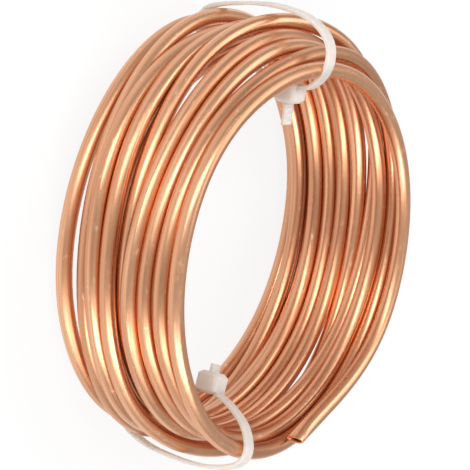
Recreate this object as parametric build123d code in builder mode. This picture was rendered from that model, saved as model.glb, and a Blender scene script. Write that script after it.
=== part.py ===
"""A coil of soft copper tube held by two cable ties, lying on its back.

Millimetres. The coil's axis is upright, with the front of the coil on top. Angles round the coil run from
+X towards +Y. The origin is the middle of the footprint, on the floor.
"""
import os
from math import cos, radians, sin, sqrt

from build123d import *

# Copper tube
tube_diameter = 4.0
tube_wall = 0.5

# Loosely wound turns. Each is a closed ring of its own, pressed into its neighbours where they cross. The rows
# run from back to front, in tube diameters: the ring's height above the coil's centre, how much higher it is
# at +X and at +Y, how much its radius exceeds the coil's, and its middle's shift in X and in Y
coil_radius = 50.0
turn_shares = (
    (-3.95, 0.12, 0.03, 0.20, 0.11, -0.04),
    (-2.80, -0.18, -0.21, 0.32, 0.38, 0.26),
    (-1.88, -0.20, -0.28, -0.12, -0.22, 0.11),
    (-0.90, -0.18, -0.28, 0.05, 0.00, 0.16),
    (0.20, 0.10, -0.05, -0.08, 0.34, 0.38),
    (1.10, 0.10, 0.22, 0.48, -0.04, -0.73),
    (2.02, 0.12, 0.24, -0.11, 0.38, -0.15),
    (2.90, -0.05, 0.18, -0.45, 0.05, -0.56),
    (3.70, -0.19, 0.34, -0.15, 0.52, -1.09),
)

# Last half turn, in the same measures: it peels off the front turn at an angle, runs down the +X side and ends
# straight, in the open cut
peel_shares = (4.42, 0.08, -0.22, -1.15, 1.10, -0.35)
peel_angle = 98.0
peel_arc = 174.0
free_length = 18.5

# Cable ties: strap and head
strap_width = 3.5
strap_thickness = 1.0
strap_clearance = 0.3
strap_bend = 3.3
head_length = 6.5
head_width = 5.6
head_height = 4.0
head_chamfer = 0.6

# Where each tie is, how slack its strap is outside and inside, and its head's and tail's places
top_tie_angle = 77.0
top_outer_slack = 2.6
top_inner_slack = 1.4
top_head_place = 8.5
top_tail = 5.5
bottom_tie_angle = 243.0
bottom_outer_slack = 1.0
bottom_inner_slack = 9.5
bottom_head_place = 3.0
bottom_tail = 3.2

# Worked out from the sizes above
tube_radius = tube_diameter / 2
strap_standoff = strap_clearance + strap_thickness

upward = Vector(0, 0, 1)


def spoke_at(angle):
    """Unit vector out from the coil's axis, at an angle from +X towards +Y."""
    return Vector(cos(radians(angle)), sin(radians(angle)), 0)


class Ring:
    """The middle line of one turn, measured from the coil's centre."""

    def __init__(self, shares):
        height, rise_x, rise_y, extra, shift_x, shift_y = (tube_diameter * share for share in shares)
        self.radius = coil_radius + extra
        self.middle = Vector(shift_x, shift_y, height)
        self.slopes = Vector(rise_x / self.radius, rise_y / self.radius, 0)
        self.axis = (upward - self.slopes).normalized()

    def plane(self, origin):
        """Plane of the ring, about an origin at the coil's centre."""
        return Plane(origin=origin + self.middle, x_dir=Vector(1, 0, self.slopes.X), z_dir=self.axis)

    def height(self, angle):
        """Height of the tube above the coil's centre at an angle."""
        return self.middle.Z + self.slopes.dot(spoke_at(angle) * self.out(angle) - self.middle)

    def out(self, angle):
        """Distance of the tube from the coil's axis at an angle."""
        along = self.middle.dot(spoke_at(angle))
        across = self.middle.dot(spoke_at(angle + 90))
        return along + sqrt(self.radius**2 - across**2)

    def reach(self, direction):
        """How far the tube's skin reaches in a direction."""
        return self.middle.dot(direction) + self.radius * sqrt(1 - self.axis.dot(direction) ** 2) + tube_radius


turns = [Ring(shares) for shares in turn_shares]
peel = Ring(peel_shares)


def rings_at(angle):
    """Turns that pass at an angle, from back to front."""
    passing = (peel_angle - angle) % 360 < peel_arc
    return turns + [peel] if passing else turns


class Strap:
    """Outer faces of a strap round the winding at an angle, tight but for its slack outside."""

    def __init__(self, angle, outer_slack):
        rings = rings_at(angle)
        self.front = rings[-1].height(angle) + tube_radius + strap_standoff
        self.back = rings[0].height(angle) - tube_radius - strap_standoff
        self.front_outside = rings[-1].out(angle) + tube_radius + strap_standoff + outer_slack
        self.back_outside = rings[0].out(angle) + tube_radius + strap_standoff
        self.outside = max(ring.out(angle) for ring in rings) + tube_radius + strap_standoff + outer_slack
        self.front_inside = rings[-1].out(angle) - tube_radius - strap_standoff
        self.back_inside = rings[0].out(angle) - tube_radius - strap_standoff


top_strap = Strap(top_tie_angle, top_outer_slack)
bottom_strap = Strap(bottom_tie_angle, bottom_outer_slack)


def strap_reach(strap, angle, direction):
    """How far a strap reaches from the coil's axis in a direction."""
    return strap.outside * spoke_at(angle).dot(direction) + strap_width / 2 * abs(
        spoke_at(angle + 90).dot(direction)
    )


# The free end goes on straight from the last half turn
peel_plane = peel.plane(Vector(0, 0, 0))
peel_start = peel_plane.from_local_coords(spoke_at(peel_angle) * peel.radius)
peel_run = peel_plane.from_local_coords(spoke_at(peel_angle - 90)) - peel.middle
free_start = peel_plane.from_local_coords(spoke_at(peel_angle - peel_arc) * peel.radius)
free_run = peel_plane.from_local_coords(spoke_at(peel_angle - peel_arc - 90)) - peel.middle
tube_mouth = free_start + free_run * free_length

# The coil lies on the straps at its back, with the middle of its footprint at the origin
left_reach = max(ring.reach(spoke_at(180)) for ring in turns)
right_reach = max(ring.reach(spoke_at(0)) for ring in turns)
near_reach = max(
    max(ring.reach(spoke_at(270)) for ring in turns),
    tube_radius * sqrt(1 - free_run.Y**2) - tube_mouth.Y,
    strap_reach(bottom_strap, bottom_tie_angle, spoke_at(270)),
)
far_reach = max(
    max(ring.reach(spoke_at(90)) for ring in turns),
    strap_reach(top_strap, top_tie_angle, spoke_at(90)),
)
coil_centre = Vector(
    (left_reach - right_reach) / 2,
    (near_reach - far_reach) / 2,
    -min(top_strap.back, bottom_strap.back),
)

# Turned winding, its last half turn and the bored free end
with BuildPart() as winding:
    for ring in turns:
        with Locations(ring.plane(coil_centre).location):
            Torus(ring.radius, tube_radius)
    with BuildSketch(Plane(origin=coil_centre + peel_start, x_dir=peel.axis, z_dir=peel_run)):
        Circle(tube_radius)
    revolve(axis=Axis(coil_centre + peel.middle, -peel.axis), revolution_arc=peel_arc)
    with BuildSketch(Plane(origin=coil_centre + free_start, x_dir=peel.axis, z_dir=free_run)):
        Circle(tube_radius)
    extrude(amount=free_length)
    with BuildSketch(Plane(origin=coil_centre + tube_mouth, x_dir=peel.axis, z_dir=free_run)):
        Circle(tube_radius - tube_wall)
    extrude(amount=-free_length, mode=Mode.SUBTRACT)


def cable_tie(strap, angle, inner_slack, head_place, tail):
    """One moulded tie: a slack strap round the winding, its head in the bore and a cut tail."""
    section = Plane(origin=coil_centre, x_dir=upward, z_dir=spoke_at(angle + 90))
    head_face = strap.front_inside - inner_slack
    head_top = head_face + strap_thickness
    with BuildPart() as tie:
        with BuildSketch(section) as loop:
            with BuildLine():
                ThreePointArc(
                    (strap.back, strap.back_outside),
                    (0, strap.outside),
                    (strap.front, strap.front_outside),
                )
                Polyline(
                    (strap.front, strap.front_outside),
                    (strap.front, strap.front_inside),
                    (head_place, head_face),
                    (strap.back, strap.back_inside),
                    (strap.back, strap.back_outside),
                )
            make_face()
            fillet(loop.vertices(), strap_bend)
            offset(amount=-strap_thickness, mode=Mode.SUBTRACT)
        extrude(amount=strap_width / 2, both=True)
        with BuildSketch(section) as head:
            with Locations((head_place, head_top - head_height / 2)):
                Rectangle(head_length, head_height)
            chamfer(head.vertices(), head_chamfer)
        extrude(amount=head_width / 2, both=True)
        with BuildSketch(section):
            with Locations((head_place, head_top - head_height - tail / 2)):
                Rectangle(strap_thickness, tail)
        extrude(amount=strap_width / 2, both=True)
    return tie.part


pieces = {
    "copper_tube_coil": winding.part,
    "top_cable_tie": cable_tie(top_strap, top_tie_angle, top_inner_slack, top_head_place, top_tail),
    "bottom_cable_tie": cable_tie(
        bottom_strap, bottom_tie_angle, bottom_inner_slack, bottom_head_place, bottom_tail
    ),
}
os.makedirs("parts", exist_ok=True)
for name, piece in pieces.items():
    piece.label = name
    export_step(piece, f"parts/{name}.step")
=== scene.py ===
"""Dresses the coil of copper tube: one loosely wound hollow tube and two nylon cable ties.

The coil lies on its back, with its axis upright. Angles round it run from +X towards +Y.
"""

from collections import namedtuple
from math import cos, pi, radians, sin

import bpy
import numpy as np
from mathutils import Matrix, Vector


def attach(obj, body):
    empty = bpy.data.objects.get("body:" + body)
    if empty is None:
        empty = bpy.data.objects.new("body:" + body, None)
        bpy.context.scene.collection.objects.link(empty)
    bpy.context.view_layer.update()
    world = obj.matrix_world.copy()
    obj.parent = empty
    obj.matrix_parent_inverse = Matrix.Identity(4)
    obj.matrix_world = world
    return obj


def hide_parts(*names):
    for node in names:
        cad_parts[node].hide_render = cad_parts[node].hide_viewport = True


MM = 0.001

# Tube and winding, in millimetres
TUBE_RADIUS = 2.0
BORE_RADIUS = 1.5
LIP_ROUND = 0.14
WIND_RADIUS = 50.0
WIND_CENTRE = Vector((-0.358, -0.291, 19.428))
STATIONS = 8
RING_SIDES = 28
TUBE_STEP = 1.8
BORE_DEPTH = 16.0

# Pinch of the open mouth: its reach, how much wider and flatter it is, and its shift back and out
PINCH_REACH = 6.0
PINCH_WIDER = 0.5
PINCH_FLATTER = 0.95
PINCH_BACK = 0.5
PINCH_OUT = 0.5

# Free end: its mouth, its way to the mouth, its straight length and the shares of it that are fixed points
MOUTH = Vector((-2.932, -50.209, 38.0))
MOUTH_RUN = Vector((-0.9703, -0.2419, -0.0022))
FREE_LENGTH = 18.5
FREE_SHARES = (0.0, 0.35, 0.7, 1.0)

# Stations every eighth of a turn from +X, open end first: how far before the middle and outside the circle
ENTRY = (18.4, 0.7)
TURNS = (
    (
        (18.0, -0.2), (17.9, -4.4), (17.0, -6.2), (15.6, -3.2),
        (15.3, -1.4), (15.3, 0.4), (14.3, 2.2), (14.1, 1.95),
    ),
    (
        (13.7, 2.3), (13.7, 1.3), (12.8, -5.0), (11.6, -3.8),
        (11.4, -1.0), (11.4, -1.2), (11.35, -0.45), (11.3, -0.8),
    ),
    (
        (11.0, -0.5), (9.9, -0.8), (9.1, -2.2), (7.6, -3.6),
        (7.0, -0.8), (7.0, -1.0), (6.9, -1.0), (7.6, 0.6),
    ),
    (
        (8.0, 2.2), (8.0, 5.3), (0.8, 2.2), (-0.2, -1.8),
        (-0.2, -2.7), (-0.8, -1.8), (-1.6, -0.5), (-2.6, -0.1),
    ),
    (
        (-4.3, 0.2), (-4.3, 1.5), (-4.3, 0.8), (-3.6, 1.4),
        (-3.0, 0.2), (-2.6, 2.5), (3.8, 4.7), (4.1, 2.7),
    ),
    (
        (4.3, 0.4), (6.0, 0.6), (5.8, -0.2), (3.9, -2.2),
        (3.4, 0.6), (3.0, 0.3), (2.6, -0.8), (1.2, -0.3),
    ),
    (
        (0.1, -0.2), (0.5, 0.5), (-2.0, -3.2), (-4.8, -3.0),
        (-4.8, -3.9), (-5.2, -1.8), (-5.7, -1.3), (-6.2, -1.8),
    ),
    (
        (-8.0, -1.2), (-8.0, 0.0), (-8.1, -0.3), (-7.4, 2.6),
        (-6.9, 0.6), (-8.0, 1.6), (-9.3, 0.6), (-9.2, 1.6),
    ),
    (
        (-11.0, 2.2), (-11.4, 2.4), (-11.95, 2.6), (-11.1, -0.2),
        (-10.7, -1.4), (-11.8, 1.5), (-13.0, 2.6), (-12.9, 0.2),
    ),
    (
        (-13.5, -1.0), (-14.0, -0.5), (-15.6, 1.2), (-15.9, -0.6),
        (-15.9, -0.2), (-16.1, 0.1), (-16.8, 0.4), (-16.7, 1.8),
    ),
    ((-17.2, 2.6), (-17.4, 3.0)),
)

# Cable ties: strap, teeth and head
STRAP_WIDTH = 3.6
STRAP_THICKNESS = 1.0
STRAP_ROUND = 0.22
STRAP_STEP = 0.22
TOOTH_PITCH = 1.1
TOOTH_DEPTH = 0.32
TOOTHED_LENGTH = 45.0
HEAD_LENGTH = 6.2
HEAD_WIDTH = 6.2
HEAD_HEIGHT = 5.4
HEAD_ROUND = 1.3
HEAD_CHAMFER = 0.8
SLOT_WIDTH = 4.1
SLOT_DEPTH = 1.8
SLOT_FLARE = 0.35
CORNER_POINTS = 5

# Ties: angle, head before the middle and out from the axis, tail's tip, and strap's way in the same measures
Tie = namedtuple("Tie", "angle head tip way")
TOP_TIE = Tie(
    angle=77.0,
    head=(9.8, 37.4),
    tip=29.2,
    way=(
        (11.6, 38.6), (14.4, 38.9), (17.4, 40.8), (19.4, 43.8), (20.0, 47.4), (19.1, 50.8), (16.6, 53.6),
        (12.6, 55.8), (8.0, 56.9), (1.0, 57.4), (-6.0, 56.8), (-12.0, 55.8), (-16.0, 54.4), (-18.1, 52.0),
        (-18.4, 49.5), (-16.8, 47.0), (-11.0, 44.6), (-4.0, 42.4), (3.0, 40.4), (7.6, 38.8), (9.4, 36.8),
    ),
)
BOTTOM_TIE = Tie(
    angle=243.0,
    head=(3.0, 37.1),
    tip=32.4,
    way=(
        (4.8, 39.2), (8.4, 40.5), (11.9, 42.5), (15.1, 45.1), (17.1, 48.2), (17.9, 51.0), (16.9, 53.8),
        (13.5, 55.8), (8.5, 57.0), (3.0, 57.4), (-4.0, 57.0), (-10.0, 56.1), (-15.0, 54.4), (-18.2, 52.2),
        (-18.8, 50.0), (-17.6, 47.4), (-13.0, 44.6), (-7.0, 42.0), (-2.4, 40.2), (0.8, 39.0), (2.6, 37.2),
    ),
)

# Camera, as for the coil standing on its edge
CAMERA_AZIMUTH = -56.0
CAMERA_ELEVATION = 20.3
CAMERA_ROLL = -0.5
CAMERA_DISTANCE = 600.0
CAMERA_LENS = 185.67
CAMERA_SHIFT = (-0.0072, -0.0009)
TIPPED = Matrix.Rotation(radians(-90), 3, "X")

# Copper: its colours, and how often each noise changes round and along the tube per metre, with its detail
CLEAN_COPPER = (0.93, 0.52, 0.31)
DRAWN_COPPER = (0.69, 0.335, 0.185)
DULL_COPPER = (0.60, 0.28, 0.15)
RUBBED_COPPER = (0.95, 0.66, 0.48)
DRAW_LINES = ((1700.0, 11.0), 6.0)
TARNISH = ((230.0, 20.0), 5.0)
MARKS = ((900.0, 420.0), 3.0)

# Copper: the range of each noise that is used, what it becomes, and its relief's strength and depth in metres
LINE_RANGE = (0.3, 0.7)
LINE_ROUGHNESS = (0.22, 0.42)
LINE_RELIEF = (0.3, 0.00006)
TARNISH_RANGE = (0.44, 0.68)
TARNISH_SHARE = (0.0, 0.8)
TARNISH_RELIEF = (0.2, 0.00015)
SCUFF_RANGE = (0.66, 0.74)
SCUFF_SHARE = (0.0, 0.6)
MARK_RANGE = (0.55, 0.8)
MARK_ROUGHNESS = (0.0, 0.14)

# Nylon: its colours, its noises and relief as above, and how light sinks into it and shines through it
MILKY_NYLON = (1.0, 0.96, 0.90)
WARM_NYLON = (0.98, 0.93, 0.85)
LIT_NYLON = (1.0, 0.95, 0.88, 1.0)
CLOUD = ((260.0, 260.0), 3.0)
CLOUD_RANGE = (0.35, 0.65)
GLOSS_RANGE = (0.3, 0.7)
NYLON_ROUGHNESS = (0.34, 0.5)
GRAIN = ((2200.0, 2200.0), 2.0)
GRAIN_RELIEF = (0.15, 0.00005)
SINK_SHARE = 0.8
SINK_RADIUS = (1.0, 0.9, 0.75)
SINK_DEPTH = 0.003
SHINE_THROUGH = 0.35

# Sockets of Blender's Mix node when it mixes colours, and the whole range of a share
MIX_FACTOR, MIX_FIRST, MIX_SECOND, MIX_RESULT = 0, 6, 7, 2
UNIT = (0.0, 1.0)

# Light, in metres and watts: each lamp's name, place, size and power
WHITE = (1.0, 1.0, 1.0, 1.0)
FLOOR_COLOUR = (0.9, 0.9, 0.9, 1.0)
FLOOR_ROUGHNESS = 0.9
FLOOR_SIZE = 4.0
WORLD_LEVEL = 0.5
BACKDROP_SHARE = 0.85
LAMP_AIM = Vector((0.0, 0.0, 0.02))
LAMPS = (
    ("low_key", (-0.75, -1.0, 0.85), (1.8, 0.5), 13.0),
    ("high_key", (-0.85, 1.0, 1.0), (1.8, 0.5), 13.0),
    ("rim", (0.7, 0.35, 1.2), (1.0, 1.0), 6.0),
)


def spline(points, step):
    """Points a step apart, or a little less, on the smooth curve through the given points."""
    points = np.array(points)
    lengths = np.linalg.norm(np.diff(points, axis=0), axis=1)
    knots = np.concatenate([[0.0], np.cumsum(lengths)])
    count = len(points)
    system = np.eye(count)
    sides = np.zeros_like(points)
    slopes = np.diff(points, axis=0) / lengths[:, None]
    for i in range(1, count - 1):
        system[i, i - 1 : i + 2] = lengths[i - 1], 2 * (lengths[i - 1] + lengths[i]), lengths[i]
        sides[i] = 6 * (slopes[i] - slopes[i - 1])
    bends = np.linalg.solve(system, sides)
    places = np.linspace(0.0, knots[-1], int(knots[-1] / step) + 2)
    span = np.clip(np.searchsorted(knots, places) - 1, 0, count - 2)
    length = lengths[span][:, None]
    before = (places - knots[span])[:, None]
    after = length - before
    return (
        (bends[span] * after**3 + bends[span + 1] * before**3) / (6 * length)
        + (points[span] / length - bends[span] * length / 6) * after
        + (points[span + 1] / length - bends[span + 1] * length / 6) * before
    )


def travelled(path):
    """Distance along a path at each of its points."""
    return np.concatenate([[0.0], np.cumsum(np.linalg.norm(np.diff(path, axis=0), axis=1))])


def tangents_of(path):
    """Unit tangent at each point of a path."""
    tangents = np.gradient(path, axis=0)
    return tangents / np.linalg.norm(tangents, axis=1)[:, None]


def skin(ring_count, sides, capped=False, closed=False):
    """Faces between rings of equally many vertices."""
    faces = []
    rows = ring_count if closed else ring_count - 1
    for row in range(rows):
        here, there = row * sides, (row + 1) % ring_count * sides
        for k in range(sides):
            after = (k + 1) % sides
            faces.append((here + k, here + after, there + after, there + k))
    if capped:
        last = (ring_count - 1) * sides
        faces.append(tuple(reversed(range(sides))))
        faces.append(tuple(range(last, last + sides)))
    return faces


def mesh_of(name, vertices, faces):
    """A mesh in metres from vertices in millimetres."""
    mesh = bpy.data.meshes.new(name)
    mesh.from_pydata((np.array(vertices) * MM).tolist(), [], faces)
    mesh.validate()
    return mesh


def add_piece(name, mesh, material, node):
    """A new object that stands for a node of the frame."""
    mesh.materials.append(material)
    piece = bpy.data.objects.new(name, mesh)
    bpy.context.scene.collection.objects.link(piece)
    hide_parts(node)
    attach(piece, "root")
    return piece


def station(place, index):
    """Point of the winding at a station, given how far it is in front and out."""
    angle = 2 * pi * index / STATIONS
    out = WIND_RADIUS + place[1]
    return WIND_CENTRE + Vector((out * cos(angle), out * sin(angle), place[0]))


def wound_path():
    """Middle line of the tube, from its open mouth to its hidden end."""
    points = [MOUTH - MOUTH_RUN * FREE_LENGTH * share for share in FREE_SHARES]
    points.append(station(ENTRY, -1))
    for row in TURNS:
        points += [station(place, index) for index, place in enumerate(row)]
    return spline(points, TUBE_STEP)


def untwisted_sides(tangents):
    """Side and upper direction at each point, turning as little as possible."""
    side = np.cross(tangents[0], (0.0, 0.0, 1.0))
    sides = []
    for tangent in tangents:
        side = side - tangent * side.dot(tangent)
        side = side / np.linalg.norm(side)
        sides.append(side)
    sides = np.array(sides)
    return sides, np.cross(sides, tangents)


def tube_profile(last, deep):
    """Point, shift along it and radius of each ring: a bore, a lip, the outside, a lip and a bore."""
    thin, thick = BORE_RADIUS + LIP_ROUND, TUBE_RADIUS - LIP_ROUND
    profile = [(i, 0.0, BORE_RADIUS) for i in range(deep, 0, -1)]
    profile += [(0, LIP_ROUND, BORE_RADIUS), (0, 0.0, thin), (0, 0.0, thick), (0, LIP_ROUND, TUBE_RADIUS)]
    profile += [(i, 0.0, TUBE_RADIUS) for i in range(1, last)]
    profile += [(last, -LIP_ROUND, TUBE_RADIUS), (last, 0.0, thick)]
    profile += [(last, 0.0, thin), (last, -LIP_ROUND, BORE_RADIUS)]
    profile += [(last - i, 0.0, BORE_RADIUS) for i in range(1, deep + 1)]
    return profile


def wound_tube(material):
    """The wound tube, with its length and its way round kept for the material."""
    path = wound_path()
    tangents = tangents_of(path)
    sides, uppers = untwisted_sides(tangents)
    lengths = travelled(path)
    turn = np.linspace(0.0, 2 * pi, RING_SIDES, endpoint=False)
    around = np.stack([np.cos(turn), np.sin(turn), np.zeros(RING_SIDES)], axis=1)
    profile = tube_profile(len(path) - 1, int(BORE_DEPTH / TUBE_STEP))
    pinch = np.clip(1.0 - lengths / PINCH_REACH, 0.0, 1.0) ** 2
    rings = []
    for i, shift, radius in profile:
        middle = path[i] + tangents[i] * shift + (sides[i] * PINCH_OUT - uppers[i] * PINCH_BACK) * pinch[i]
        flat = np.outer(around[:, 0], sides[i]) * (radius - PINCH_FLATTER * pinch[i])
        wide = np.outer(around[:, 1], uppers[i]) * (radius + PINCH_WIDER * pinch[i])
        rings.append(middle + flat + wide)
    mesh = mesh_of("wound_tube", np.concatenate(rings), skin(len(rings), RING_SIDES, capped=True))
    mesh.shade_smooth()
    along = np.repeat([lengths[i] * MM for i, shift, radius in profile], RING_SIDES)
    mesh.attributes.new("along_tube", "FLOAT", "POINT").data.foreach_set("value", along)
    rounds = np.tile(around, (len(rings), 1)).ravel()
    mesh.attributes.new("around_tube", "FLOAT_VECTOR", "POINT").data.foreach_set("vector", rounds)
    return add_piece("wound_tube", mesh, material, "copper_tube_coil")


def rounded_rectangle(length, width, corner):
    """Points round a rectangle with round corners, about its middle."""
    points = []
    for quarter, (side_x, side_y) in enumerate(((1, 1), (-1, 1), (-1, -1), (1, -1))):
        for k in range(CORNER_POINTS):
            angle = (quarter + k / (CORNER_POINTS - 1)) * pi / 2
            x = side_x * (length / 2 - corner) + corner * cos(angle)
            y = side_y * (width / 2 - corner) + corner * sin(angle)
            points.append((x, y))
    return np.array(points)


def tie_frame(angle):
    """Directions of a tie: up the coil's axis, out from it and across the strap."""
    out = np.array([cos(radians(angle)), sin(radians(angle)), 0.0])
    up = np.array([0.0, 0.0, 1.0])
    return up, out, np.cross(up, out)


def strap_mesh(tie):
    """A strap from its head round the turns and through the head to its tail, toothed on its inner face."""
    up, out, across = tie_frame(tie.angle)
    in_front, out_from_axis = tie.head
    through = ((in_front, out_from_axis - HEAD_HEIGHT / 2), (in_front, tie.tip))
    flat = spline([(*place, 0.0) for place in tie.way + through], STRAP_STEP)
    tangents = tangents_of(flat)
    inward = np.stack([-tangents[:, 1], tangents[:, 0]], axis=1)
    lengths = travelled(flat)
    profile = rounded_rectangle(STRAP_WIDTH, STRAP_THICKNESS, STRAP_ROUND)
    toothed = (profile[:, 1] > 0) & (np.abs(profile[:, 0]) < STRAP_WIDTH / 2 - STRAP_ROUND / 2)
    rings = []
    for place, inner, length in zip(flat, inward, lengths):
        depth = TOOTH_DEPTH * (length / TOOTH_PITCH % 1.0) if lengths[-1] - length < TOOTHED_LENGTH else 0.0
        thick = profile[:, 1] - depth * toothed
        ring_up = place[0] + inner[0] * thick
        ring_out = place[1] + inner[1] * thick
        rings.append(np.outer(ring_up, up) + np.outer(ring_out, out) + np.outer(profile[:, 0], across))
    return np.concatenate(rings) + np.array(WIND_CENTRE), skin(len(rings), len(profile), capped=True)


def head_mesh(tie):
    """A head with a flared slot through it."""
    up, out, across = tie_frame(tie.angle)
    in_front, out_from_axis = tie.head
    half = HEAD_HEIGHT / 2
    outer = rounded_rectangle(HEAD_LENGTH, HEAD_WIDTH, HEAD_ROUND)
    shoulder = rounded_rectangle(HEAD_LENGTH - 2 * HEAD_CHAMFER, HEAD_WIDTH - 2 * HEAD_CHAMFER, HEAD_ROUND)
    slot = rounded_rectangle(SLOT_DEPTH, SLOT_WIDTH, SLOT_FLARE)
    mouth = rounded_rectangle(SLOT_DEPTH + 2 * SLOT_FLARE, SLOT_WIDTH + 2 * SLOT_FLARE, 2 * SLOT_FLARE)
    levels = (
        (slot, half - SLOT_FLARE), (mouth, half), (shoulder, half), (outer, half - HEAD_CHAMFER),
        (outer, HEAD_CHAMFER - half), (shoulder, -half), (mouth, -half), (slot, SLOT_FLARE - half),
    )
    rings = []
    for shape, level in levels:
        middle = up * in_front + out * (out_from_axis + level)
        rings.append(middle + np.outer(shape[:, 0], up) + np.outer(shape[:, 1], across))
    return np.concatenate(rings) + np.array(WIND_CENTRE), skin(len(rings), len(outer), closed=True)


def cable_tie(name, tie, material):
    """One moulded tie: its strap and its head."""
    strap, strap_faces = strap_mesh(tie)
    head, head_faces = head_mesh(tie)
    shifted = [tuple(corner + len(strap) for corner in face) for face in head_faces]
    mesh = mesh_of(name, np.concatenate([strap, head]), strap_faces + shifted)
    return add_piece("moulded_" + name, mesh, material, name)


def new_material(name):
    """A material with its nodes, its links and its Principled shader."""
    material = bpy.data.materials.new(name)
    material.use_nodes = True
    nodes = material.node_tree.nodes
    return material, nodes, material.node_tree.links, nodes["Principled BSDF"]


def streaks(nodes, links, coordinates, kind):
    """Noise that changes so often per metre across Z and along it, with so much fine detail."""
    scales, detail = kind
    mapping = nodes.new("ShaderNodeMapping")
    mapping.inputs["Scale"].default_value = (scales[0], scales[0], scales[1])
    links.new(coordinates, mapping.inputs["Vector"])
    noise = nodes.new("ShaderNodeTexNoise")
    noise.inputs["Scale"].default_value = 1.0
    noise.inputs["Detail"].default_value = detail
    links.new(mapping.outputs["Vector"], noise.inputs["Vector"])
    return noise.outputs["Fac"]


def spread(nodes, links, value, source, target):
    """A value brought from one range to another, and kept in it."""
    change = nodes.new("ShaderNodeMapRange")
    change.inputs["From Min"].default_value, change.inputs["From Max"].default_value = source
    change.inputs["To Min"].default_value, change.inputs["To Max"].default_value = target
    links.new(value, change.inputs["Value"])
    return change.outputs["Result"]


def blend(nodes, links, factor, first, second):
    """A colour between two, each a colour or another node's output."""
    mix = nodes.new("ShaderNodeMix")
    mix.data_type = "RGBA"
    links.new(factor, mix.inputs[MIX_FACTOR])
    for socket, colour in ((mix.inputs[MIX_FIRST], first), (mix.inputs[MIX_SECOND], second)):
        if isinstance(colour, tuple):
            socket.default_value = (*colour, 1.0)
        else:
            links.new(colour, socket)
    return mix.outputs[MIX_RESULT]


def relief(nodes, links, height, depth):
    """A bump of the given strength and depth."""
    bump = nodes.new("ShaderNodeBump")
    bump.inputs["Strength"].default_value, bump.inputs["Distance"].default_value = depth
    links.new(height, bump.inputs["Height"])
    return bump


def tube_coordinates(nodes, links):
    """Place on the tube's skin in metres: round it in X and Y, and along it in Z."""
    around = nodes.new("ShaderNodeAttribute")
    around.attribute_name = "around_tube"
    along = nodes.new("ShaderNodeAttribute")
    along.attribute_name = "along_tube"
    radius = nodes.new("ShaderNodeVectorMath")
    radius.operation = "SCALE"
    radius.inputs["Scale"].default_value = TUBE_RADIUS * MM
    links.new(around.outputs["Vector"], radius.inputs[0])
    length = nodes.new("ShaderNodeCombineXYZ")
    links.new(along.outputs["Fac"], length.inputs["Z"])
    place = nodes.new("ShaderNodeVectorMath")
    links.new(radius.outputs["Vector"], place.inputs[0])
    links.new(length.outputs["Vector"], place.inputs[1])
    return place.outputs["Vector"]


def copper():
    """Satin drawn copper: draw lines along the tube, soft tarnish and handling marks."""
    material, nodes, links, shader = new_material("drawn_copper")
    place = tube_coordinates(nodes, links)
    lines = streaks(nodes, links, place, DRAW_LINES)
    tarnish = streaks(nodes, links, place, TARNISH)
    marks = streaks(nodes, links, place, MARKS)
    drawn = spread(nodes, links, lines, LINE_RANGE, UNIT)
    clean = blend(nodes, links, drawn, CLEAN_COPPER, DRAWN_COPPER)
    stain = spread(nodes, links, tarnish, TARNISH_RANGE, TARNISH_SHARE)
    dull = blend(nodes, links, stain, clean, DULL_COPPER)
    scuff = spread(nodes, links, marks, SCUFF_RANGE, SCUFF_SHARE)
    links.new(blend(nodes, links, scuff, dull, RUBBED_COPPER), shader.inputs["Base Color"])
    rough = nodes.new("ShaderNodeMath")
    links.new(spread(nodes, links, lines, LINE_RANGE, LINE_ROUGHNESS), rough.inputs[0])
    links.new(spread(nodes, links, marks, MARK_RANGE, MARK_ROUGHNESS), rough.inputs[1])
    links.new(rough.outputs["Value"], shader.inputs["Roughness"])
    shader.inputs["Metallic"].default_value = 1.0
    scratches = relief(nodes, links, lines, LINE_RELIEF)
    dents = relief(nodes, links, tarnish, TARNISH_RELIEF)
    links.new(scratches.outputs["Normal"], dents.inputs["Normal"])
    links.new(dents.outputs["Normal"], shader.inputs["Normal"])
    return material


def nylon():
    """Milky natural nylon with faint flow marks."""
    material, nodes, links, shader = new_material("natural_nylon")
    coordinates = nodes.new("ShaderNodeTexCoord").outputs["Object"]
    cloud = streaks(nodes, links, coordinates, CLOUD)
    grain = streaks(nodes, links, coordinates, GRAIN)
    tone = spread(nodes, links, cloud, CLOUD_RANGE, UNIT)
    links.new(blend(nodes, links, tone, MILKY_NYLON, WARM_NYLON), shader.inputs["Base Color"])
    links.new(spread(nodes, links, cloud, GLOSS_RANGE, NYLON_ROUGHNESS), shader.inputs["Roughness"])
    shader.inputs["Subsurface Weight"].default_value = SINK_SHARE
    shader.inputs["Subsurface Radius"].default_value = SINK_RADIUS
    shader.inputs["Subsurface Scale"].default_value = SINK_DEPTH
    through = nodes.new("ShaderNodeBsdfTranslucent")
    through.inputs["Color"].default_value = LIT_NYLON
    milky = nodes.new("ShaderNodeMixShader")
    milky.inputs["Fac"].default_value = SHINE_THROUGH
    links.new(shader.outputs["BSDF"], milky.inputs[1])
    links.new(through.outputs["BSDF"], milky.inputs[2])
    links.new(milky.outputs["Shader"], nodes["Material Output"].inputs["Surface"])
    grained = relief(nodes, links, grain, GRAIN_RELIEF)
    links.new(grained.outputs["Normal"], shader.inputs["Normal"])
    return material


def backdrop_rays(nodes, links):
    """One for a ray that shows the background: from the camera, off metal or through a clear thing."""
    path = nodes.new("ShaderNodeLightPath")
    total = path.outputs["Is Camera Ray"]
    for kind in ("Is Glossy Ray", "Is Transmission Ray"):
        most = nodes.new("ShaderNodeMath")
        most.operation = "MAXIMUM"
        links.new(total, most.inputs[0])
        links.new(path.outputs[kind], most.inputs[1])
        total = most.outputs["Value"]
    return total


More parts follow.
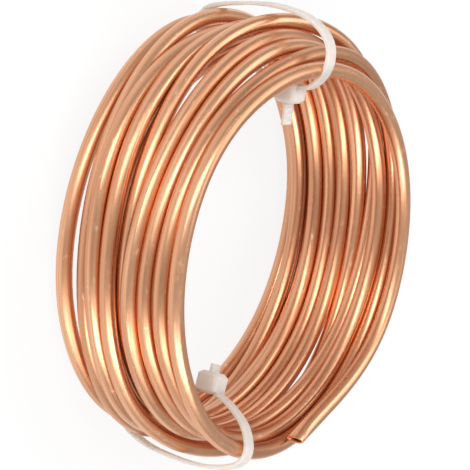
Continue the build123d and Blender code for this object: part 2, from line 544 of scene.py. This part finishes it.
def stage():
    """Plain white floor that keeps a soft shadow."""
    bpy.ops.mesh.primitive_plane_add(size=FLOOR_SIZE)
    floor = bpy.context.object
    floor.name = "floor"
    material, nodes, links, shader = new_material("white_floor")
    shader.inputs["Base Color"].default_value = FLOOR_COLOUR
    shader.inputs["Roughness"].default_value = FLOOR_ROUGHNESS
    glow = nodes.new("ShaderNodeEmission")
    mix = nodes.new("ShaderNodeMixShader")
    share = spread(nodes, links, backdrop_rays(nodes, links), UNIT, (0.0, BACKDROP_SHARE))
    links.new(share, mix.inputs["Fac"])
    links.new(shader.outputs["BSDF"], mix.inputs[1])
    links.new(glow.outputs["Emission"], mix.inputs[2])
    links.new(mix.outputs["Shader"], nodes["Material Output"].inputs["Surface"])
    floor.data.materials.append(material)


def lighting():
    """A plain white world and soft lamps."""
    world = bpy.data.worlds.new("studio")
    bpy.context.scene.world = world
    world.use_nodes = True
    background = world.node_tree.nodes["Background"]
    background.inputs["Color"].default_value = WHITE
    background.inputs["Strength"].default_value = WORLD_LEVEL
    for name, place, size, power in LAMPS:
        data = bpy.data.lights.new(name, "AREA")
        data.shape = "RECTANGLE"
        data.size, data.size_y = size
        data.energy = power
        lamp = bpy.data.objects.new(name, data)
        back = (Vector(place) - LAMP_AIM).normalized()
        side = Vector((0.0, 1.0, 0.0)).cross(back).normalized()
        facing = Matrix((side, back.cross(side), back)).transposed()
        lamp.matrix_world = Matrix.Translation(place) @ facing.to_4x4()
        bpy.context.scene.collection.objects.link(lamp)


def camera():
    """The photograph's camera, tipped over with the coil."""
    round_it = Matrix.Rotation(radians(CAMERA_AZIMUTH), 3, "Z")
    above_it = Matrix.Rotation(radians(90 - CAMERA_ELEVATION), 3, "X")
    facing = TIPPED @ round_it @ above_it @ Matrix.Rotation(radians(CAMERA_ROLL), 3, "Z")
    data = bpy.data.cameras.new("photo_camera")
    data.lens = CAMERA_LENS
    data.shift_x, data.shift_y = CAMERA_SHIFT
    eye = bpy.data.objects.new("photo_camera", data)
    place = (WIND_CENTRE + facing @ Vector((0, 0, CAMERA_DISTANCE))) * MM
    eye.matrix_world = Matrix.Translation(place) @ facing.to_4x4()
    bpy.context.scene.collection.objects.link(eye)
    bpy.context.scene.camera = eye


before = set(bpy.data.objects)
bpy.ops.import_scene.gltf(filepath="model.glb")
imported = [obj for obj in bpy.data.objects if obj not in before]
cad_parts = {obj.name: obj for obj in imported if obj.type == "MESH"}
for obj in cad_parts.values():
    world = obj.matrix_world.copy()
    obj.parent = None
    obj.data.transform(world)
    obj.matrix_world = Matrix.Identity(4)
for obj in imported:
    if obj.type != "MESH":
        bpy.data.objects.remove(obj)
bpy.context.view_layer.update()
wound_tube(copper())
plastic = nylon()
cable_tie("top_cable_tie", TOP_TIE, plastic)
cable_tie("bottom_cable_tie", BOTTOM_TIE, plastic)
stage()
lighting()
camera()
bpy.context.scene.view_settings.view_transform = "Standard"
